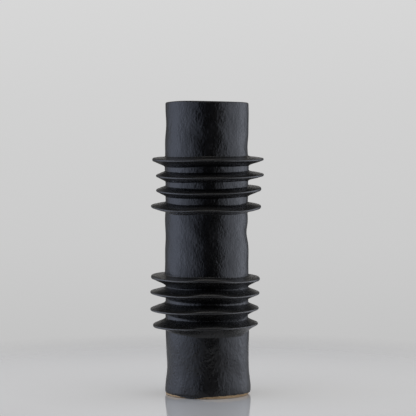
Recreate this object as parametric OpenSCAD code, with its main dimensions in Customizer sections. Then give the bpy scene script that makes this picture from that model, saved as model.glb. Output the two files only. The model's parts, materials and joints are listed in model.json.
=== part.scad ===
// Tall stoneware vase: a tube luted together from three wall sections, standing on a lapped
// floor slab and a bare foot ring, with two groups of four pinched-out flanges round it.
// Origin: centre of the foot ring's tread. +Z is up and -Y is the front.

/* [Body] */
// Height from the table to the top of the rim
height = 404; // [360:1:450]
// Outside diameter of the plain wall
body_d = 114; // [104:1:124]
// Thickness of the wall
wall_t = 7; // [6:0.5:9]
// Radius that rounds the rim, inside and outside
rim_r = 2.2; // [1:0.1:2.6]
// Growth of the wall's radius where it spreads above its foot
flare = 1.4; // [0.4:0.1:2]

/* [Base] */
// Height of the bare foot ring
foot_h = 3; // [2:0.5:6]
// Width of the foot ring's tread
foot_w = 9; // [7:0.5:14]
// Thickness of the floor slab
floor_t = 9; // [7:0.5:12]
// Radius of the cove that the corner coil makes between floor and wall
coil_r = 8; // [5:0.5:12]

/* [Flanges] */
// Nominal outside diameter of a flange
flange_d = 150; // [142:1:158]
// Height from one flange to the next in its group
pitch = 21.5; // [20:0.5:24]
// Height of the lower group's first flange
lower_z = 97.2; // [80:0.1:110]
// Height of the upper group's first flange
upper_z = 260.0; // [240:0.1:270]
// Radius of a flange's rounded lip
lip_r = 2.8; // [2:0.1:3.6]
// Thickness of a flange's blade where it leaves the wall
blade_t = 10; // [8:0.1:12]
// Height that a flange's root covers on the wall
root_h = 16; // [15:0.5:18]

/* [Joints] */
// Depth of the scored seats that the flanges, the floor slab and the corner coil are pressed into
seat_d = 0.6; // [0.3:0.1:1]
// Height of a flange's scored seat
seat_h = 7; // [5:0.5:8]
// Width of the tongue that keys one wall section to the next
tongue_w = 2.6; // [2:0.1:3]
// Depth of the tongue
tongue_h = 3; // [2:0.5:5]
// Width and height of the lap between floor slab and wall
lap = 3; // [2:0.5:4]

/* [Hidden] */
$fn = 96;

glaze = [0.09, 0.09, 0.10];
clay = [0.66, 0.50, 0.34];

body_r = body_d / 2;
bore_r = body_r - wall_t;
seat_r = body_r - seat_d;
floor_top = foot_h + floor_t;

// The wall spreads from flare_top down to flare_low, then turns in to its bottom edge.
flare_top = 36;
flare_low = 6;
base_r = body_r + flare / 2;

// The foot ring stands a little inside the wall's bottom edge and has a small bevel.
foot_inset = 0.9;
foot_bevel = 0.8;
foot_r = base_r - foot_inset;

// The corner coil stops where its cove is still coil_blunt thick, so it has no feather edge.
coil_blunt = 0.3;
coil_leg = coil_r - sqrt(coil_r * coil_r - pow(coil_r - coil_blunt, 2));
coil_top = floor_top + coil_leg;

// The root's cove ends this far out from the wall, inside the blade. The root also goes on
// root_spare further up and down within the wall, so that the wall's surface cuts its cove alone.
root_reach = 10;
root_end = 1.5;
root_spare = 2;

// The tongue stands in the middle of the wall that the seat leaves.
tongue_r = (bore_r + seat_r - tongue_w) / 2;

// How each hand-made flange departs from the plan, in mm and degrees:
// [rise, growth of radius, shift right, shift back, lift of the right side, dip of the front]
lower_hand = [
    [0.0, -2.6, -2.1,  1.0,  1.0, -0.4],
    [0.5, -0.3, -3.4, -0.5,  0.6,  0.0],
    [1.0,  0.3, -2.9,  1.0, -0.5, -0.3],
    [0.0,  0.0, -2.2, -1.0, -1.1,  0.0]
];
upper_hand = [
    [0.0,  0.8, -1.4,  0.0, -0.3,  0.8],
    [1.4, -2.6,  2.4,  1.5,  0.9,  1.8],
    [-0.2, -0.9, 4.0, -1.0,  0.5,  0.8],
    [0.0,  1.6,  1.3,  1.0,  0.2, -0.4]
];

function lower_flange_z(i) = lower_z + i * pitch + lower_hand[i][0];
function upper_flange_z(i) = upper_z + i * pitch + upper_hand[i][0];

seat_heights = [
    for (i = [0:3]) lower_flange_z(i),
    for (i = [0:3]) upper_flange_z(i)
];

// The two seams between wall sections lie behind the middle of a flange in each group.
lower_seam = lower_flange_z(2);
upper_seam = upper_flange_z(1);

// A ring with a rectangular section, from z0 to z1 and from radius r0 to r1.
module ring(r0, r1, z0, z1) {
    difference() {
        translate([0, 0, z0]) cylinder(r = r1, h = z1 - z0);
        translate([0, 0, z0 - 1]) cylinder(r = r0, h = z1 - z0 + 2);
    }
}

module foot_ring() {
    color(clay)
        rotate_extrude()
            polygon([
                [foot_r - foot_w, 0],
                [foot_r - foot_bevel, 0],
                [foot_r, foot_bevel],
                [foot_r, foot_h],
                [foot_r - foot_w, foot_h]
            ]);
}

// A disc with a lap round its lower edge, which keys into the wall from below.
module floor_slab() {
    color(clay)
        union() {
            translate([0, 0, foot_h]) cylinder(r = bore_r + seat_d, h = floor_t);
            translate([0, 0, foot_h]) cylinder(r = bore_r + lap, h = lap);
        }
}

// The coil of clay pressed into the corner inside, finished with a fingertip as a cove.
module corner_coil() {
    color(glaze)
        rotate_extrude()
            difference() {
                translate([bore_r - coil_leg, floor_top]) square([coil_leg + seat_d, coil_leg]);
                translate([bore_r - coil_r, floor_top + coil_r]) circle(r = coil_r);
            }
}

// The whole tube's section, from the foot to the rounded rim. Its lower inside corner is cut back
// by the floor slab's lap and by the scored seat behind the slab and the coil.
module tube_profile() {
    difference() {
        union() {
            polygon([
                [bore_r, foot_h],
                [base_r, foot_h],
                [body_r + flare, flare_low],
                [body_r, flare_top],
                [bore_r, flare_top]
            ]);
            translate([bore_r, flare_top]) square([wall_t, height - flare_top - rim_r]);
            translate([bore_r + rim_r, height - 2 * rim_r]) square([wall_t - 2 * rim_r, 2 * rim_r]);
            for (r = [bore_r + rim_r, body_r - rim_r])
                translate([r, height - rim_r]) circle(r = rim_r);
        }
        translate([bore_r - 1, foot_h - 1]) square([lap + 1, lap + 1]);
        translate([bore_r - 1, foot_h]) square([seat_d + 1, coil_top - foot_h]);
    }
}

// One section of the tube from z0 to z1, with the scored seats that fall on it.
module wall_section(z0, z1) {
    difference() {
        rotate_extrude()
            intersection() {
                tube_profile();
                translate([0, z0]) square([2 * body_r, z1 - z0]);
            }
        for (z = seat_heights)
            if (z + seat_h / 2 > z0 && z - seat_h / 2 < z1)
                ring(seat_r, body_r + 5, z - seat_h / 2, z + seat_h / 2);
    }
}

// The ring of clay that keys two sections together. It stands down from the upper section into
// the lower one at z, and its top lies inside the upper section.
module tongue(z) {
    ring(tongue_r, tongue_r + tongue_w, z - tongue_h, z + 1);
}

module lower_wall() {
    color(glaze)
        difference() {
            wall_section(foot_h, lower_seam);
            tongue(lower_seam);
        }
}

module middle_wall() {
    color(glaze)
        union() {
            difference() {
                wall_section(lower_seam, upper_seam);
                tongue(upper_seam);
            }
            tongue(lower_seam);
        }
}

module upper_wall() {
    color(glaze)
        union() {
            wall_section(upper_seam, height);
            tongue(upper_seam);
        }
}

// The thin part of a flange: it starts inside the wall, is blade_t thick at the wall's surface,
// tapers outwards and ends in a round lip at radius r.
module blade(r) {
    run = r - lip_r - body_r;
    half = lip_r + (blade_t / 2 - lip_r) * (run + wall_t) / run;
    rotate_extrude()
        union() {
            polygon([[bore_r, -half], [r - lip_r, -lip_r], [r - lip_r, lip_r], [bore_r, half]]);
            translate([r - lip_r, 0]) circle(r = lip_r);
        }
}

// The thick part against the wall, with a cove above and below that runs out into the blade.
module root() {
    rise = root_h / 2 - root_end;
    cove_r = (root_reach * root_reach + rise * rise) / (2 * rise);
    rotate_extrude()
        difference() {
            translate([bore_r, -root_h / 2 - root_spare])
                square([wall_t + root_reach, root_h + 2 * root_spare]);
            for (side = [-1, 1])
                translate([body_r + root_reach, side * (root_end + cove_r)]) circle(r = cove_r);
        }
}

// A whole flange at height z. hand holds its departures from the plan.
module flange(z, hand) {
    color(glaze)
        union() {
            difference() {
                translate([0, 0, z]) rotate([hand[5], -hand[4], 0]) {
                    translate([hand[2], hand[3], 0]) blade(flange_d / 2 + hand[1]);
                    root();
                }
                translate([0, 0, z - root_h]) cylinder(r = body_r, h = 2 * root_h);
            }
            ring(seat_r, body_r + 1, z - seat_h / 2, z + seat_h / 2);
        }
}

foot_ring();
floor_slab();
corner_coil();
lower_wall();
middle_wall();
upper_wall();
for (i = [0:3]) {
    flange(lower_flange_z(i), lower_hand[i]);
    flange(upper_flange_z(i), upper_hand[i]);
}
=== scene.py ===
"""A tall black-glazed stoneware vase with two groups of pinched flanges, standing on a pale table.

Lengths are in millimetres until a mesh is made, and bearings are in degrees round the vase:
0 is its right side (+X), 90 its back (+Y), 180 its left side and 270 its front (-Y).
"""

import json
import math

import bpy
import numpy as np
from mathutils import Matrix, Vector


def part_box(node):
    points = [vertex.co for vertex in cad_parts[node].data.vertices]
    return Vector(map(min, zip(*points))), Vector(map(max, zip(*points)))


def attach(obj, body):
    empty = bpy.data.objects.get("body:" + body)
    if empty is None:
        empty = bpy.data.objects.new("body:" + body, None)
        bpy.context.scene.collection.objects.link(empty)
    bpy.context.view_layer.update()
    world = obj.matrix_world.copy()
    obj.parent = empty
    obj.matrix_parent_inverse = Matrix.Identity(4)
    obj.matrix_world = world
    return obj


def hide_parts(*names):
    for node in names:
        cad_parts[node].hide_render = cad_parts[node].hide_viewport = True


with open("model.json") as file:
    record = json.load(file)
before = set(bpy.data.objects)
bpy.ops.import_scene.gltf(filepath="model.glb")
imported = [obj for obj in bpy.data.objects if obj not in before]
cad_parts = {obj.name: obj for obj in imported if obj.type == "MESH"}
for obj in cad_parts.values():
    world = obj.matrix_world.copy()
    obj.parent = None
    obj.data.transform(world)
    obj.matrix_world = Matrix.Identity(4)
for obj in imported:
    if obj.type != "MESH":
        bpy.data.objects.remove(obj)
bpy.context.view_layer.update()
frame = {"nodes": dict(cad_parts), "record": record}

MM = 0.001
SEED = 7
AROUND = 360  # columns round a wall
FLANGE_AROUND = 480  # columns round a flange
TURN = 2 * np.pi


# ---------------------------------------------------------------- sizes taken from the frame


def node_box(node):
    """The lowest and highest corners of a CAD node, in mm."""
    lo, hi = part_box(node)
    return np.array(lo) / MM, np.array(hi) / MM


def node_points(node):
    """The vertices of a CAD node, in mm."""
    mesh = frame["nodes"][node].data
    flat = np.empty(len(mesh.vertices) * 3)
    mesh.vertices.foreach_get("co", flat)
    return flat.reshape(-1, 3) / MM


MOUTH = next(m for m in frame["record"]["mounts"] if m["name"] == "mouth")
BORE_R = MOUTH["dims"]["r_mm"]
HEIGHT = node_box("upper_wall")[1][2]
WALL_R = node_box("upper_wall")[1][0]
FOOT_R = node_box("foot_ring")[1][0]
FOOT_H = node_box("foot_ring")[1][2]
FLOOR_TOP = node_box("floor_slab")[1][2]
LAP_R = node_box("floor_slab")[1][0]
FLARE = node_box("lower_wall")[1][0] - WALL_R
COIL_TOP = node_box("corner_coil")[1][2]
COIL_R = node_box("corner_coil")[1][0]
FLANGES = [f"{group}_flange_{i}" for group in ("lower", "upper") for i in (1, 2, 3, 4)]

TONGUE_H = 3.0  # the tongue that keys two wall sections
TONGUE_W = 2.6
LAP_H = 3.0
SEAT_D = COIL_R - BORE_R  # depth of the scored seats
SEAT_H = 7.0
FOOT_W = 9.0
FOOT_BEVEL = 0.8
RIM_R = 2.2  # radius that rounds the rim
LIP_R = 2.8  # radius of a flange's rounded lip
BLADE_T = 10.0  # a flange's blade where it leaves the wall
ROOT_H = 16.0  # height that a flange's root covers on the wall
FLARE_TOP, FLARE_LOW = 36.0, 6.0
LOWER_SEAM = node_box("middle_wall")[0][2] + TONGUE_H
UPPER_SEAM = node_box("upper_wall")[0][2] + TONGUE_H


# ---------------------------------------------------------------- the hand-made surface

# Where the wall was pressed in or swells out:
# (height, bearing, depth outwards, height of the mark, its width in degrees)
DENTS = [
    (375, 180, -1.1, 16, 50),
    (332, 180, 0.8, 30, 60),
    (343, 0, -1.3, 13, 50),
    (257, 0, -0.9, 35, 60),
    (224, 0, -1.9, 11, 45),
    (246, 180, 0.9, 14, 60),
    (202, 180, 0.5, 25, 60),
    (170, 180, 1.0, 16, 60),
    (108, 0, -1.0, 10, 40),
    (82, 0, 0.7, 20, 50),
    (40, 180, -1.9, 26, 60),
    (22, 0, 1.3, 28, 60),
    (217, 275, -0.4, 22, 30),
    (367, 300, -0.3, 18, 25),
    (62, 250, 0.3, 20, 30),
    (352, 80, 0.6, 22, 45),
    (207, 110, -0.8, 26, 50),
    (52, 70, 0.7, 24, 50),
    (8, 0, 1.0, 11, 50),
]

# Broad unevenness from beating and smoothing: (amplitude, waves round, waves per mm up)
rng = np.random.default_rng(SEED)
SWELLS = [
    (0.16 / math.sqrt(k), int(rng.integers(1, 7)), rng.uniform(0.004, 0.03), rng.uniform(0, TURN))
    for k in (1, 1, 2, 2, 3, 3)
]


def bump(x, width):
    return np.exp(-((x / width) ** 2))


def turn_from(theta, bearing):
    """Signed angle in degrees from a bearing to theta."""
    return (np.degrees(theta) - bearing + 180) % 360 - 180


def smooth(x):
    x = np.clip(x, 0, 1)
    return x * x * (3 - 2 * x)


def wall_radius(theta, z):
    """Radius of the wall's outside."""
    r = WALL_R + FLARE * (1 - smooth((z - FLARE_LOW) / (FLARE_TOP - FLARE_LOW)))
    r = r - FLARE / 2 * np.clip((FLARE_LOW - z) / (FLARE_LOW - FOOT_H), 0, 1) ** 2
    for height, bearing, depth, tall, wide in DENTS:
        r = r + depth * bump(z - height, tall) * bump(turn_from(theta, bearing), wide)
    for amp, n, k, phase in SWELLS:
        r = r + amp * np.sin(n * theta + TURN * k * z + phase)
    return r


def bore_radius(theta, z):
    """Radius of the inside, with the soft ridges that fingers leave."""
    fade = smooth((z - COIL_TOP) / 12) * smooth((HEIGHT - z) / 10)
    ridge = 0.28 * np.sin(TURN * z / 13.0 + theta) + 0.2 * np.sin(TURN * z / 31.0 + 2 * theta + 1)
    return BORE_R + fade * (ridge - 0.2)


# How far the rim dips below its highest point: (bearing, depth)
RIM_DIPS = [(0, 2.5), (90, 2), (180, 2), (240, 0), (320, 1.5)]


def rim_height(theta):
    """Height of the rim, which is uneven."""
    return HEIGHT - around(RIM_DIPS, theta)


# Where the glaze stops above the foot: (bearing, height). It ran down to the tread in one place.
GLAZE_STOPS = [(0, 3.5), (120, 3), (215, 3), (249, 0), (270, 3), (300, 4)]
ALL_GLAZED = 9  # above this height the wall is glazed all round
COAT = 0.25  # thickness of the glaze at its edge on the wall
FOOT_COAT = 0.2  # and on the foot ring


def around(table, theta):
    """Smooth closed curve through (bearing, value) pairs, with no overshoot between them."""
    at = np.degrees(theta) % 360
    b, v = (np.array(column, float) for column in zip(*table))
    b, v = np.concatenate([b - 360, b, b + 360]), np.tile(v, 3)
    gap = np.diff(b)
    slope = np.diff(v) / gap
    before, after = slope[:-1], slope[1:]
    same = before * after > 0
    tangent = np.zeros(len(b))
    tangent[1:-1][same] = 2 * before[same] * after[same] / (before[same] + after[same])
    i = np.clip(np.searchsorted(b, at, side="right") - 1, 0, len(b) - 2)
    t = (at - b[i]) / gap[i]
    curve = v[i] + (v[i + 1] - v[i]) * t * t * (3 - 2 * t)
    return curve + gap[i] * t * (1 - t) * (tangent[i] * (1 - t) - tangent[i + 1] * t)


def glaze_line(theta):
    fine = 0.18 * np.sin(23 * theta) + 0.12 * np.sin(41 * theta + 2)
    return around(GLAZE_STOPS, theta) + fine


def glazed(theta, z):
    """1 where the outside is glazed and 0 where it's bare."""
    return smooth((z - glaze_line(theta)) / 0.35 + 0.5)


# ---------------------------------------------------------------- meshes


def make_mesh(name, verts, faces, glaze=None, lip=None, pinched=None, sharp=40):
    mesh = bpy.data.meshes.new(name)
    mesh.from_pydata((verts * MM).tolist(), [], faces)
    # the pinched layer also paints shade: it fades towards a flange's root and is weaker on undersides
    for key, values in (("glaze", glaze), ("lip", lip), ("pinched", pinched)):
        layer = mesh.attributes.new(key, "FLOAT", "POINT")
        fill = np.zeros(len(verts)) if values is None else np.asarray(values, float)
        layer.data.foreach_set("value", fill)
    mesh.validate()
    mesh.shade_smooth()
    mesh.set_sharp_from_angle(angle=math.radians(sharp))
    mesh.update()
    obj = bpy.data.objects.new(name, mesh)
    bpy.context.collection.objects.link(obj)
    return obj


def ring_faces(rows, cols):
    """Quads of a torus of rows x cols vertices, facing outwards."""
    i, j = np.meshgrid(np.arange(rows), np.arange(cols), indexing="ij")
    i2, j2 = (i + 1) % rows, (j + 1) % cols
    quads = np.stack([i * cols + j, i * cols + j2, i2 * cols + j2, i2 * cols + j], -1)
    return quads.reshape(-1, 4).tolist()


def angles(cols):
    return np.arange(cols) * TURN / cols


def turned(name, section, cols, glaze=None, lip=None, pinched=None, sharp=40):
    """A closed ring. section is a list of (radius, height) rows, anticlockwise when +X is outwards,
    each a number or an array over the bearings."""
    theta = angles(cols)
    r = np.array([np.broadcast_to(p[0], theta.shape) for p in section])
    z = np.array([np.broadcast_to(p[1], theta.shape) for p in section])
    verts = np.stack([r * np.cos(theta), r * np.sin(theta), z], -1).reshape(-1, 3)
    layers = [None if layer is None else np.array(layer).reshape(-1) for layer in (glaze, lip, pinched)]
    return make_mesh(name, verts, ring_faces(len(section), cols), *layers, sharp)


def steps(a, b, size):
    """Evenly spaced values from a to b, both included."""
    n = max(1, int(round(abs(b - a) / size)))
    return np.linspace(a, b, n + 1)


def seats_between(z0, z1):
    """(low, high) of every flange's scored seat that falls on a wall from z0 to z1."""
    for node in FLANGES:
        z = SEAT_Z[node]
        low, high = max(z - SEAT_H / 2, z0), min(z + SEAT_H / 2, z1)
        if high > low:
            yield low, high


def outer_rows(theta, z0, z1, fine_to=None):
    """Rows of (radius, height) up the outside from z0 to z1, with the seats let in."""
    rows, z = [], z0
    for low, high in sorted(seats_between(z0, z1)):
        if low > z:
            rows += [(wall_radius(theta, h), h) for h in steps(z, low, 1.25)]
        rows += [(wall_radius(theta, h) - SEAT_D, h) for h in steps(low, high, 1.8)]
        z = high
    if z < z1:
        heights = steps(z, z1, 1.25)
        if fine_to is not None:
            heights = np.concatenate([steps(z, fine_to, 0.25), steps(fine_to, z1, 1.25)[1:]])
        rows += [(wall_radius(theta, h), h) for h in heights]
    return rows


def tongue_radii():
    middle = (BORE_R + WALL_R - SEAT_D) / 2
    return middle - TONGUE_W / 2, middle + TONGUE_W / 2


def joint_rows(z, outwards):
    """Rows across a seam at z, over the tongue that stands down into the section below."""
    a, b = tongue_radii()
    rows = [(b, z), (b, z - TONGUE_H), (a, z - TONGUE_H), (a, z)]
    return rows[::-1] if outwards else rows


# ---------------------------------------------------------------- flanges


def lip_circle(node):
    """Fits the lip of a CAD flange: centre, radius and the plane (z0, slope x, slope y)."""
    p = node_points(node)
    bearing = np.arctan2(p[:, 1], p[:, 0])
    reach = np.hypot(p[:, 0], p[:, 1])
    best = []
    for k in range(72):
        near = np.abs(turn_from(bearing, k * 5)) < 2.6
        if near.any():
            ids = np.where(near)[0]
            top = ids[reach[ids] > reach[ids].max() - 0.05]
            best.append(p[top].mean(axis=0))
    q = np.array(best)
    a = np.c_[2 * q[:, :2], np.ones(len(q))]
    cx, cy, c = np.linalg.lstsq(a, (q[:, :2] ** 2).sum(axis=1), rcond=None)[0]
    plane = np.linalg.lstsq(np.c_[np.ones(len(q)), q[:, :2]], q[:, 2], rcond=None)[0]
    return (cx, cy), math.sqrt(c + cx * cx + cy * cy), plane


LIPS = {node: lip_circle(node) for node in FLANGES}
SEAT_Z = {node: LIPS[node][2][0] for node in FLANGES}
LIP_LINE = math.radians(36)  # how far round the lip the lighter line spreads: thinned glaze and a painted highlight
LIP_TILT = math.radians(14)  # how far above the lip's middle that lighter line lies
UNDERSIDE_SHADE = 0.85  # painted shade: how much of the flanges' lighter tone an underside gets, next to the top, so undersides read darker
THIN_LIP = 1.2  # radius of a lip at its thinnest
# How strong the lighter line along each group's lips is, where they are thin and more at the front:
# partly thinned glaze, partly a painted highlight
LIP_BREAK_AND_HIGHLIGHT = {"lower": (0.85, 0.12), "upper": (0.42, 0.0)}
BULGE = 0.8  # how far a blade's faces swell
COVE_REACH = 9.5  # how far out from the wall a cove goes

# What the potter's hands did to each flange, in mm: how far its root sags below the lip on the
# left and on the right, how far the lip droops at each side of the front, how far it rises in
# the middle of the front, and how much more clay there is under the front
HAND = {
    "lower_flange_1": (-2, 0, 1, -1, 6),
    "lower_flange_2": (-2, 0, 1, -0.5, 6),
    "lower_flange_3": (0, 0, 1.5, 0, 3),
    "lower_flange_4": (4, 3, 1, 0.5, 0),
    "upper_flange_1": (1, 1, 3, -1.5, -2),
    "upper_flange_2": (1, 3, 1, -1.5, -2),
    "upper_flange_3": (1, 1, 1, -1, -2),
    "upper_flange_4": (3, 2, 1, 0, -1),
}
BLUNT, SHARP = LIP_R, 0.65 * LIP_R
# How each lip ends on the left and on the right
ENDS = {
    "lower_flange_1": (BLUNT, SHARP), "lower_flange_2": (SHARP, SHARP),
    "lower_flange_3": (SHARP, SHARP), "lower_flange_4": (BLUNT, BLUNT),
    "upper_flange_1": (SHARP, BLUNT), "upper_flange_2": (SHARP, BLUNT),
    "upper_flange_3": (SHARP, SHARP), "upper_flange_4": (BLUNT, SHARP),
}
# Radius of a lip's top and of its underside in the middle of the front, where the lower group's
# lips were pressed blunt
PRESSED = {"lower": (1.5 * LIP_R, 0.6 * LIP_R), "upper": (SHARP, 0.5 * LIP_R)}
THICKER = {"lower": 2, "upper": 0}  # the lower group's roots are taller than the upper's
LIP_LOW = 1  # how far all the lips hang below the plan
ROOT_FOLLOWS = 0.7  # how much of a lip's wander its root shares
SUNK = 0.03  # how far a collar's outer corners lie inside the wall's surface
COVE_SUNK = 0.12  # how far the start of a cove lies inside it


def plan_height(node, theta, r):
    """Height of a flange's middle plane at radius r, before its lip wanders."""
    z0, sx, sy = LIPS[node][2]
    return z0 + r * (sx * np.cos(theta) + sy * np.sin(theta))


def lip_radius(node, theta, front):
    """Radius of a lip that is thin on either side of the front, where its radius is front."""
    left, right = ENDS[node]
    ends = [(0, right), (90, (left + right) / 2), (180, left)]
    thin = [(bearing, THIN_LIP) for bearing in (222, 246, 300, 320)]
    return around(sorted(ends + thin + [(266, front), (282, front)]), theta)


def lip_reach(node, theta):
    """Distance of the lip's outermost point from the vase's axis."""
    (cx, cy), r, _ = LIPS[node]
    along = cx * np.cos(theta) + cy * np.sin(theta)
    plan = along + np.sqrt(r * r - cx * cx - cy * cy + along * along)
    own = np.random.default_rng(SEED + FLANGES.index(node))
    for n in (3, 5, 8, 13):
        amp = 0.35 / math.sqrt(n)
        # The waves are still at the two sides, where the frame gives the reach.
        plan = plan + amp * np.sin(n * theta + own.uniform(0, TURN)) * np.sin(theta) ** 2
    return plan


def flange(node):
    """One pinched flange: a wedge with a rounded lip, coves on both sides, and a collar in its seat."""
    group = node[:5]
    theta = angles(FLANGE_AROUND)
    reach = lip_reach(node, theta)
    sag_left, sag_right, droop, crest, under_front = HAND[node]
    wander = around([(0, 0), (90, 0.5), (180, 0), (235, -droop), (272, crest), (305, -droop)], theta)
    wander = wander - LIP_LOW
    lip_z = plan_height(node, theta, reach) + wander
    root_z = plan_height(node, theta, WALL_R) + ROOT_FOLLOWS * wander
    in_front = smooth((-np.sin(theta) - 0.1) / 0.5)
    sag = sag_left + (sag_right - sag_left) * (1 + np.cos(theta)) / 2
    half = (ROOT_H + THICKER[group]) / 2
    more = [(0, 0), (180, 0), (235, under_front / 2), (262, under_front), (320, under_front)]
    heavy = around(more, theta)
    up, up_cove = BLADE_T / 2 - sag, half - sag
    down, down_cove = BLADE_T / 2 + sag + heavy / 2, half + sag + heavy
    seat = SEAT_Z[node]
    lip_r, lip_low = (lip_radius(node, theta, front) for front in PRESSED[group])
    worn_and_highlight, front_highlight = LIP_BREAK_AND_HIGHLIGHT[group]
    # the lighter lip line, partly thinned glaze and partly a painted highlight, added more at the front
    thin = worn_and_highlight * (THIN_LIP / lip_r) ** 2 + front_highlight * smooth(in_front)
    tip = reach - lip_r
    length = tip - wall_radius(theta, root_z)
    rows, lips = [], []

    def add(r, z, lip=0.0):
        rows.append((r, z))
        lips.append(np.broadcast_to(lip, theta.shape))

    def side(sign, wedge, cove):
        """Rows from the wall out to the lip on the top (+1) or the underside (-1)."""
        out = []

        def line(rho):
            share = rho / length
            lip_edge = lip_z + (lip_r if sign > 0 else -lip_low)
            straight = (root_z + sign * wedge) * (1 - share) + lip_edge * share
            return straight + sign * BULGE * np.sin(math.pi * share)

        for t in np.linspace(0, 1, 12):
            a = t * math.pi / 2
            rho = COVE_REACH * (1 - math.cos(a)) - COVE_SUNK * (1 - t)
            out.append((rho, line(rho) + sign * (cove - wedge) * (1 - math.sin(a))))
        for t in (0.25, 0.5, 0.75):
            rho = COVE_REACH + (length - COVE_REACH) * t
            out.append((rho, line(rho)))
        return out

    # up the collar's inside, then round the section
    top, under = side(1, up, up_cove), side(-1, down, down_cove)
    add(wall_radius(theta, seat - SEAT_H / 2) - SEAT_D, seat - SEAT_H / 2)
    add(wall_radius(theta, seat - SEAT_H / 2) - SUNK, seat - SEAT_H / 2)
    for rho, z in under:
        add(wall_radius(theta, z) + rho, z)
    for a in np.linspace(-80, 80, 21):
        a = math.radians(a)
        z = lip_z + (lip_r if a > 0 else lip_low) * math.sin(a)
        add(tip + lip_r * math.cos(a), z, thin * bump(a - LIP_TILT, LIP_LINE))
    for rho, z in top[::-1]:
        add(wall_radius(theta, z) + rho, z)
    add(wall_radius(theta, seat + SEAT_H / 2) - SUNK, seat + SEAT_H / 2)
    add(wall_radius(theta, seat + SEAT_H / 2) - SEAT_D, seat + SEAT_H / 2)
    glaze = np.ones((len(rows), FLANGE_AROUND))
    # The pinched tone fades from nothing at the wall to full past the cove, and undersides get less of
    # it: painted shade near the roots and under the flanges
    out = [np.clip((np.broadcast_to(r, theta.shape) - WALL_R) / COVE_REACH, 0, 1) for r, _ in rows]
    for k in range(2 + len(under)):
        out[k] = UNDERSIDE_SHADE * out[k]
    return turned(f"vase_{node}", rows, FLANGE_AROUND, glaze, lips, out, sharp=50)


# ---------------------------------------------------------------- walls, floor and foot


def upper_wall():
    theta = angles(AROUND)
    top = rim_height(theta)
    rows = outer_rows(theta, UPPER_SEAM, HEIGHT - 8)
    r_out = wall_radius(theta, HEIGHT - 4)
    last = HEIGHT - 8
    for t in (0.25, 0.5, 0.75, 1.0):
        z = last + (top - RIM_R - last) * t
        rows.append((wall_radius(theta, z), z))
    lip = [np.zeros(AROUND)] * len(rows)
    for a in np.linspace(15, 90, 6):
        a = math.radians(a)
        rows.append((r_out - RIM_R + RIM_R * math.cos(a), top - RIM_R + RIM_R * math.sin(a)))
        lip.append(np.full(AROUND, 0.15 * math.sin(a)))
    for a in np.linspace(90, 165, 6):
        a = math.radians(a)
        rows.append((BORE_R + RIM_R + RIM_R * math.cos(a), top - RIM_R + RIM_R * math.sin(a)))
        lip.append(np.full(AROUND, 0.15 * math.sin(a)))
    inner = steps(HEIGHT - 5, UPPER_SEAM, 3)
    rows += [(bore_radius(theta, z), z) for z in inner]
    rows += joint_rows(UPPER_SEAM, outwards=True)
    lip += [np.zeros(AROUND)] * (len(rows) - len(lip))
    glaze = np.ones((len(rows), AROUND))
    return turned("vase_upper_wall", rows, AROUND, glaze, lip, sharp=45)


def middle_wall():
    theta = angles(AROUND)
    rows = outer_rows(theta, LOWER_SEAM, UPPER_SEAM)
    rows += joint_rows(UPPER_SEAM, outwards=False)
    rows += [(bore_radius(theta, z), z) for z in steps(UPPER_SEAM, LOWER_SEAM, 3)]
    rows += joint_rows(LOWER_SEAM, outwards=True)
    return turned("vase_middle_wall", rows, AROUND, np.ones((len(rows), AROUND)), sharp=45)


def lower_wall():
    theta = angles(AROUND)
    rows = outer_rows(theta, FOOT_H, FLARE_TOP, fine_to=FLARE_LOW)
    rows += outer_rows(theta, FLARE_TOP, LOWER_SEAM)[1:]
    # the glaze is a coat that ends in a soft step
    rows = [(r + COAT * glazed(theta, z) - COAT, z) if z < ALL_GLAZED else (r, z) for r, z in rows]
    glaze = [glazed(theta, z) if z < ALL_GLAZED else np.ones(AROUND) for _, z in rows]
    inner = joint_rows(LOWER_SEAM, outwards=False)
    inner += [(bore_radius(theta, z), z) for z in steps(LOWER_SEAM, COIL_TOP, 3)]
    inner += [(COIL_R, COIL_TOP), (COIL_R, FOOT_H + LAP_H), (LAP_R, FOOT_H + LAP_H), (LAP_R, FOOT_H)]
    rows += inner
    glaze += [np.ones(AROUND)] * (len(inner) - 4) + [np.zeros(AROUND)] * 4
    return turned("vase_lower_wall", rows, AROUND, glaze, sharp=45)


def corner_coil():
    theta = angles(AROUND)
    cove, blunt = COIL_TOP - FLOOR_TOP, 0.3  # the coil ends blunt, with no feather edge
    wobble = 0.25 * np.sin(5 * theta) + 0.2 * np.sin(11 * theta + 1)
    rows = [(COIL_R, FLOOR_TOP), (COIL_R, COIL_TOP)]
    for t in np.linspace(0, 1, 12):
        a = t * math.pi / 2
        inwards = blunt + (cove - blunt + wobble) * (1 - math.cos(a))
        rows.append((BORE_R - inwards, COIL_TOP - cove * math.sin(a)))
    return turned("vase_corner_coil", rows, AROUND, np.ones((len(rows), AROUND)), sharp=45)


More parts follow.
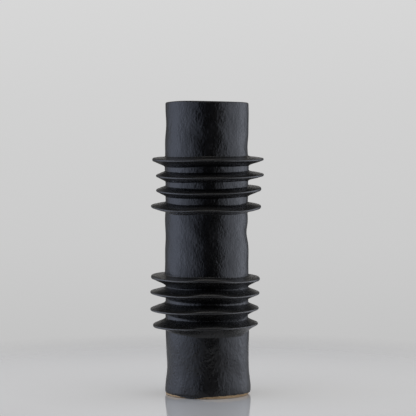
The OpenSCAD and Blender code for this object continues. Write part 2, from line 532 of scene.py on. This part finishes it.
def floor_slab():
    """A disc with a lap round its lower edge. Its top carries a shallow spiral from smoothing."""
    theta = angles(AROUND)
    edge = [(LAP_R, FOOT_H), (LAP_R, FOOT_H + LAP_H), (COIL_R, FOOT_H + LAP_H), (COIL_R, FLOOR_TOP)]
    radii = steps(BORE_R - 1, 1.5, 1.5)

    def dish(r):
        ridge = 0.12 * np.sin(TURN * r / 7.0 + theta)
        return FLOOR_TOP - smooth((BORE_R - r) / 30) * (0.5 - ridge)

    rows = edge + [(r, dish(r)) for r in radii]
    under = [(r, FOOT_H) for r in steps(1.5, LAP_R - 1.5, 3)]
    rows += under
    n = len(edge) + len(radii)
    r = np.array([np.broadcast_to(p[0], theta.shape) for p in rows])
    z = np.array([np.broadcast_to(p[1], theta.shape) for p in rows])
    verts = np.stack([r * np.cos(theta), r * np.sin(theta), z], -1).reshape(-1, 3)
    caps = np.array([[0, 0, FLOOR_TOP - 0.5], [0, 0, FOOT_H]])
    faces = [f for k, f in enumerate(ring_faces(len(rows), AROUND)) if k // AROUND != n - 1]
    top, low = len(verts), len(verts) + 1
    for j in range(AROUND):
        k = (j + 1) % AROUND
        faces.append([(n - 1) * AROUND + j, (n - 1) * AROUND + k, top])
        faces.append([n * AROUND + k, n * AROUND + j, low])
    glaze = np.zeros(len(verts) + 2)
    glaze[len(edge) * AROUND : n * AROUND] = 1
    glaze[top] = 1
    return make_mesh("vase_floor_slab", np.vstack([verts, caps]), faces, glaze, sharp=45)


def foot_ring():
    theta = angles(AROUND)
    chip = 0.12 * np.sin(9 * theta) + 0.1 * np.sin(17 * theta + 2)
    rows = [(FOOT_R - FOOT_W, FOOT_H), (FOOT_R - FOOT_W, 0.6), (FOOT_R - FOOT_W + 0.6, 0)]
    rows += [(FOOT_R - FOOT_W / 2, 0), (FOOT_R - FOOT_BEVEL - 0.4, 0)]
    rows += [(FOOT_R - FOOT_BEVEL * 0.7 + chip, 0.35), (FOOT_R - 0.12 + chip / 2, 0.75)]
    rows += [(FOOT_R, z) for z in steps(0.9, FOOT_H, 0.25)]
    outside = FOOT_R - 1
    rows = [(r + FOOT_COAT * glazed(theta, z), z) if np.max(r) > outside else (r, z) for r, z in rows]
    glaze = [glazed(theta, z) if np.max(r) > outside else np.zeros(AROUND) for r, z in rows]
    glaze[-1] = glazed(theta, rows[-1][1])
    return turned("vase_foot_ring", rows, AROUND, glaze, sharp=45)


# ---------------------------------------------------------------- materials


class Nodes:
    """Short names for building a node tree."""

    def __init__(self, tree):
        self.tree = tree
        tree.nodes.clear()

    def add(self, kind, **settings):
        node = self.tree.nodes.new(kind)
        for key, value in settings.items():
            setattr(node, key, value)
        return node

    def link(self, source, target):
        self.tree.links.new(source, target)

    def put(self, socket, value):
        if isinstance(value, bpy.types.NodeSocket):
            self.link(value, socket)
        else:
            socket.default_value = value

    def math(self, op, a, b=0.0, c=0.0):
        node = self.add("ShaderNodeMath", operation=op)
        for socket, value in zip(node.inputs, (a, b, c)):
            self.put(socket, value)
        return node.outputs[0]

    def mix(self, fac, a, b):
        """A blend of two numbers."""
        return self.math("ADD", a, self.math("MULTIPLY", fac, self.math("SUBTRACT", b, a)))

    def colour(self, fac, a, b, blend="MIX"):
        node = self.add("ShaderNodeMix", data_type="RGBA", blend_type=blend)
        self.put(node.inputs[0], fac)
        for socket, value in ((node.inputs[6], a), (node.inputs[7], b)):
            self.put(socket, (*value, 1) if isinstance(value, tuple) and len(value) == 3 else value)
        return node.outputs[2]

    def ramp(self, fac, stops, ease="LINEAR"):
        """A colour ramp through (position, grey or colour) stops."""
        node = self.add("ShaderNodeValToRGB")
        node.color_ramp.interpolation = ease
        elements = node.color_ramp.elements
        while len(elements) < len(stops):
            elements.new(0.5)
        for element, (at, value) in zip(elements, stops):
            element.position = at
            element.color = (*value, 1) if isinstance(value, tuple) else (value, value, value, 1)
        self.put(node.inputs[0], fac)
        return node.outputs[0]

    def place(self, scale=(1, 1, 1), rotate=(0, 0, 0)):
        """Object coordinates in mm, scaled."""
        where = self.add("ShaderNodeTexCoord").outputs["Object"]
        node = self.add("ShaderNodeMapping")
        self.link(where, node.inputs["Vector"])
        node.inputs["Scale"].default_value = tuple(s / MM for s in scale)
        node.inputs["Rotation"].default_value = rotate
        return node.outputs[0]

    def noise(self, scale, size=1.0, detail=2.0, rough=0.5, warp=0.0):
        node = self.add("ShaderNodeTexNoise")
        self.link(self.place(scale), node.inputs["Vector"])
        node.inputs["Scale"].default_value = 1.0 / size
        node.inputs["Detail"].default_value = detail
        node.inputs["Roughness"].default_value = rough
        node.inputs["Distortion"].default_value = warp
        return node.outputs["Fac"]

    def attribute(self, name):
        return self.add("ShaderNodeAttribute", attribute_name=name).outputs["Fac"]


def new_material(name):
    mat = bpy.data.materials.new(name)
    mat.use_nodes = True
    n = Nodes(mat.node_tree)
    shader = n.add("ShaderNodeBsdfPrincipled")
    n.link(shader.outputs[0], n.add("ShaderNodeOutputMaterial").inputs["Surface"])
    return mat, n, shader


def bumped(n, shader, height):
    """Feeds a height in mm to the shader's normal."""
    node = n.add("ShaderNodeBump")
    node.inputs["Strength"].default_value = 1.0
    node.inputs["Distance"].default_value = MM
    n.link(height, node.inputs["Height"])
    n.link(node.outputs[0], shader.inputs["Normal"])


def glaze_parts(n):
    """Colour, roughness and height of the black glaze."""
    cloud = n.noise((1, 1, 0.6), 34, 3, 0.55, 0.4)
    streak = n.noise((1, 1, 0.28), 5.5, 3, 0.55, 0.3)
    fleck = n.noise((1, 1, 1), 1.6, 2, 0.6)
    lip, pinched = n.attribute("lip"), n.attribute("pinched")
    brown = n.ramp(cloud, [(0.35, 0.0), (0.68, 1.0)])
    black = n.colour(brown, (0.0016, 0.0016, 0.0019), (0.0032, 0.0027, 0.0024))
    runs = n.math("MULTIPLY", n.ramp(streak, [(0.45, 0.0), (0.75, 1.0)]), 0.6)
    mottled = n.colour(runs, black, (0.0052, 0.005, 0.0056))
    # flanges get a lighter grey-brown tone, partly their own thinner glaze and partly painted shade,
    # since the mask fades it towards the wall and under them
    worked_tone_and_shade = n.colour(n.math("MULTIPLY", pinched, 0.8), mottled, (0.0125, 0.0119, 0.0109))
    # the lighter line along the lips: partly glaze thinned at the edge, partly a painted highlight
    thin = n.math("MULTIPLY", lip, n.ramp(fleck, [(0.3, 0.25), (0.7, 1.0)]))
    colour = n.colour(n.math("MULTIPLY", thin, 0.8), worked_tone_and_shade, (0.150, 0.146, 0.142))
    rough = n.math("ADD", 0.18, n.math("MULTIPLY", streak, 0.14))
    rough = n.math("ADD", rough, n.math("MULTIPLY", cloud, 0.06))
    dimple = n.math("MULTIPLY", n.noise((1, 1, 0.75), 2.4, 1.5, 0.5, 0.2), 0.58)
    knock = n.math("MULTIPLY", n.noise((1, 1, 0.8), 6.5, 1.0, 0.5), 0.56)
    hand = n.math("MULTIPLY", n.noise((1, 1, 0.7), 16, 1.5, 0.5), 0.9)
    grain = n.math("MULTIPLY", n.noise((1, 1, 1), 1.5, 1, 0.5), 0.08)
    height = n.math("ADD", n.math("ADD", dimple, n.math("ADD", knock, hand)), grain)
    height = n.math("MULTIPLY", height, n.math("SUBTRACT", 1.0, n.math("MULTIPLY", pinched, 0.86)))
    return colour, rough, height


def clay_parts(n):
    """Colour, roughness and height of the bare clay."""
    cloud = n.noise((1, 1, 1), 9, 3, 0.6)
    grit = n.noise((1, 1, 1), 0.9, 2, 0.7)
    speck = n.ramp(n.noise((1, 1, 1), 1.3, 1, 0.5), [(0.62, 0.0), (0.7, 1.0)])
    clay = n.colour(cloud, (0.42, 0.25, 0.11), (0.82, 0.59, 0.33))
    clay = n.colour(n.math("MULTIPLY", grit, 0.4), clay, (0.78, 0.62, 0.42))
    clay = n.colour(n.math("MULTIPLY", speck, 0.7), clay, (0.07, 0.045, 0.03))
    rough = n.math("ADD", 0.78, n.math("MULTIPLY", grit, 0.16))
    height = n.math("ADD", n.math("MULTIPLY", grit, 0.09), n.math("MULTIPLY", cloud, 0.1))
    return clay, rough, height


def stoneware(name):
    """Black glaze where the glaze attribute is 1, bare clay where it's 0."""
    mat, n, shader = new_material(name)
    coat = n.attribute("glaze")
    g_colour, g_rough, g_height = glaze_parts(n)
    c_colour, c_rough, c_height = clay_parts(n)
    n.link(n.colour(coat, c_colour, g_colour), shader.inputs["Base Color"])
    n.link(n.mix(coat, c_rough, g_rough), shader.inputs["Roughness"])
    shader.inputs["IOR"].default_value = 1.5
    bumped(n, shader, n.mix(coat, c_height, g_height))
    return mat


def table_top():
    """A smooth pale table that fades into the backdrop away from the vase."""
    mat, n, shader = new_material("table_top")
    cloud = n.noise((1, 1, 1), 160, 3, 0.5)
    n.link(n.colour(cloud, (0.525, 0.525, 0.525), (0.555, 0.555, 0.555)), shader.inputs["Base Color"])
    n.link(n.math("ADD", 0.06, n.math("MULTIPLY", cloud, 0.03)), shader.inputs["Roughness"])
    shader.inputs["IOR"].default_value = 1.5
    where = n.add("ShaderNodeTexCoord").outputs["Object"]
    length = n.add("ShaderNodeVectorMath", operation="DISTANCE")
    n.link(where, length.inputs[0])
    length.inputs[1].default_value = (0, 0.12, 0)
    fade = n.add("ShaderNodeMapRange", interpolation_type="SMOOTHSTEP")
    n.link(length.outputs["Value"], fade.inputs["Value"])
    for key, value in (("From Min", 0.31), ("From Max", 0.64), ("To Min", 1.0), ("To Max", 0.0)):
        fade.inputs[key].default_value = value
    n.link(fade.outputs[0], shader.inputs["Alpha"])
    return mat


# ---------------------------------------------------------------- the setting


def table():
    """A round table top under the vase."""
    size, rows, cols = 0.82 / MM, 24, 96
    r, t = np.meshgrid(np.linspace(size / rows, size, rows), angles(cols), indexing="ij")
    verts = np.stack([r * np.cos(t), r * np.sin(t), np.zeros_like(r)], -1).reshape(-1, 3)
    faces = [quad[::-1] for quad in ring_faces(rows, cols)[: (rows - 1) * cols]]
    faces += [[j, (j + 1) % cols, len(verts)] for j in range(cols)]
    obj = make_mesh("table", np.vstack([verts, np.zeros((1, 3))]), faces)
    obj.data.materials.append(table_top())
    return obj


def studio():
    """A pale room with a broad soft light on each side and a dark side behind the camera."""
    world = bpy.data.worlds.new("studio")
    bpy.context.scene.world = world
    world.use_nodes = True
    n = Nodes(world.node_tree)
    split = n.add("ShaderNodeSeparateXYZ")
    n.link(n.add("ShaderNodeTexCoord").outputs["Generated"], split.inputs[0])
    x, y, z = split.outputs
    # bearing from the front: 0.5 in front, 0.75 on the right, 0.25 on the left
    side = n.math("ARCTAN2", x, n.math("MULTIPLY", y, -1.0))
    side = n.math("ADD", n.math("DIVIDE", side, TURN), 0.5)
    rise = n.math("DIVIDE", n.math("ARCSINE", z), math.pi / 2)

    def at(degrees):
        return 0.5 + degrees / 360

    blue, cool, warm = (0.86, 0.95, 1.2), (0.92, 0.975, 1.12), (1.0, 0.985, 0.965)

    def lit(brightness, tint=cool):
        return tuple(brightness * c / 2.5 for c in tint)

    walls = n.ramp(side, [
        (at(-180), lit(0.10, warm)), (at(-160), lit(0.12, warm)), (at(-144), lit(0.20, warm)),
        (at(-118), lit(0.95, blue)), (at(-87), lit(1.9, blue)), (at(-76), lit(1.3, blue)),
        (at(-42), lit(0.86, blue)), (at(-22), lit(0.16, blue)), (at(-8), lit(0.02)),
        (at(18), lit(0.02, warm)), (at(36), lit(0.10, warm)), (at(52), lit(1.0)),
        (at(75), lit(1.45)), (at(120), lit(1.7)), (at(145), lit(0.22)),
        (at(160), lit(0.12, warm)), (at(180), lit(0.10, warm)),
    ], "EASE")
    # a pale strip low down behind the vase, which only the table mirrors
    strip = n.ramp(side, [
        (at(-180), lit(0.64, warm)), (at(-173), lit(0.64, warm)), (at(-168), 0.0),
        (at(168), 0.0), (at(173), lit(0.64, warm)), (at(180), lit(0.64, warm)),
    ])
    above = n.math("MAXIMUM", rise, 0.0)
    low = n.ramp(above, [(0.070, 0.0), (0.078, 1.0), (0.115, 1.0), (0.145, 0.0)])
    strip = n.colour(1.0, strip, low, "MULTIPLY")
    walls = n.colour(1.0, walls, strip, "ADD")
    ceiling = n.ramp(above, [(0.0, 0.0), (0.28, 0.0), (0.62, 1.0), (1.0, 1.0)], "EASE")
    light = n.colour(ceiling, walls, lit(0.18, warm))
    # what the camera sees past the table: the same pale grey all round, a little lighter higher up
    level = n.math("MULTIPLY", n.math("ARCSINE", z), 1.0 / math.radians(40))
    shown = n.ramp(n.math("ADD", level, 0.5), [
        (0.0, 0.50), (0.27, 0.505), (0.40, 0.60), (0.50, 0.640), (0.575, 0.68), (1.0, 0.70),
    ])
    lamp, back = n.add("ShaderNodeBackground"), n.add("ShaderNodeBackground")
    n.link(light, lamp.inputs[0])
    lamp.inputs[1].default_value = 2.35
    n.link(shown, back.inputs[0])
    pick = n.add("ShaderNodeMixShader")
    n.link(n.add("ShaderNodeLightPath").outputs["Is Camera Ray"], pick.inputs[0])
    n.link(lamp.outputs[0], pick.inputs[1])
    n.link(back.outputs[0], pick.inputs[2])
    n.link(pick.outputs[0], n.add("ShaderNodeOutputWorld").inputs[0])


def overhead():
    """A soft strip light above and in front, which picks out the lips."""
    data = bpy.data.lights.new("overhead", "AREA")
    data.shape, data.size, data.size_y = "RECTANGLE", 1.2, 0.5
    data.energy, data.color = 2.4, (1.0, 0.98, 0.95)
    obj = bpy.data.objects.new("overhead", data)
    bpy.context.collection.objects.link(obj)
    obj.location = (0, -0.55, 1.9)
    obj.rotation_euler = (Vector((0, 0, 0.25)) - obj.location).to_track_quat("-Z", "Y").to_euler()
    obj.visible_camera = False


def fill():
    """A broad soft light over everything, too soft to be mirrored in the glaze."""
    data = bpy.data.lights.new("fill", "AREA")
    data.shape, data.size, data.size_y = "RECTANGLE", 3.0, 3.0
    data.energy = 45.0
    obj = bpy.data.objects.new("fill", data)
    bpy.context.collection.objects.link(obj)
    obj.location = (0, 0, 2.4)
    obj.visible_camera = False
    obj.visible_glossy = False


def camera():
    """Just below the rim, looking slightly down, through a long lens."""
    data = bpy.data.cameras.new("camera")
    data.sensor_width, data.lens = 36.0, 176.4
    data.clip_end = 50
    obj = bpy.data.objects.new("camera", data)
    bpy.context.collection.objects.link(obj)
    distance, pitch = 2.8, 2.98
    aside, below_rim = 0.00137, 0.0016
    obj.location = (aside, -distance, HEIGHT * MM - below_rim)
    obj.rotation_euler = (math.radians(90 - pitch), 0, 0)
    bpy.context.scene.camera = obj


# ---------------------------------------------------------------- putting it together


def main():
    glaze = stoneware("black_glaze")
    clay = stoneware("bare_clay")
    makers = {
        "foot_ring": foot_ring, "floor_slab": floor_slab, "corner_coil": corner_coil,
        "lower_wall": lower_wall, "middle_wall": middle_wall, "upper_wall": upper_wall,
    }
    slots = {s["node"]: s["material_slot"] for s in frame["record"]["subparts"]}
    for node in frame["nodes"]:
        piece = makers[node]() if node in makers else flange(node)
        piece.data.materials.append(clay if slots[node] == "bare_clay" else glaze)
        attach(piece, "root")
        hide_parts(node)
    table()
    studio()
    overhead()
    fill()
    camera()
    scene = bpy.context.scene
    scene.view_settings.view_transform = "Standard"
    scene.view_settings.look = "None"


main()
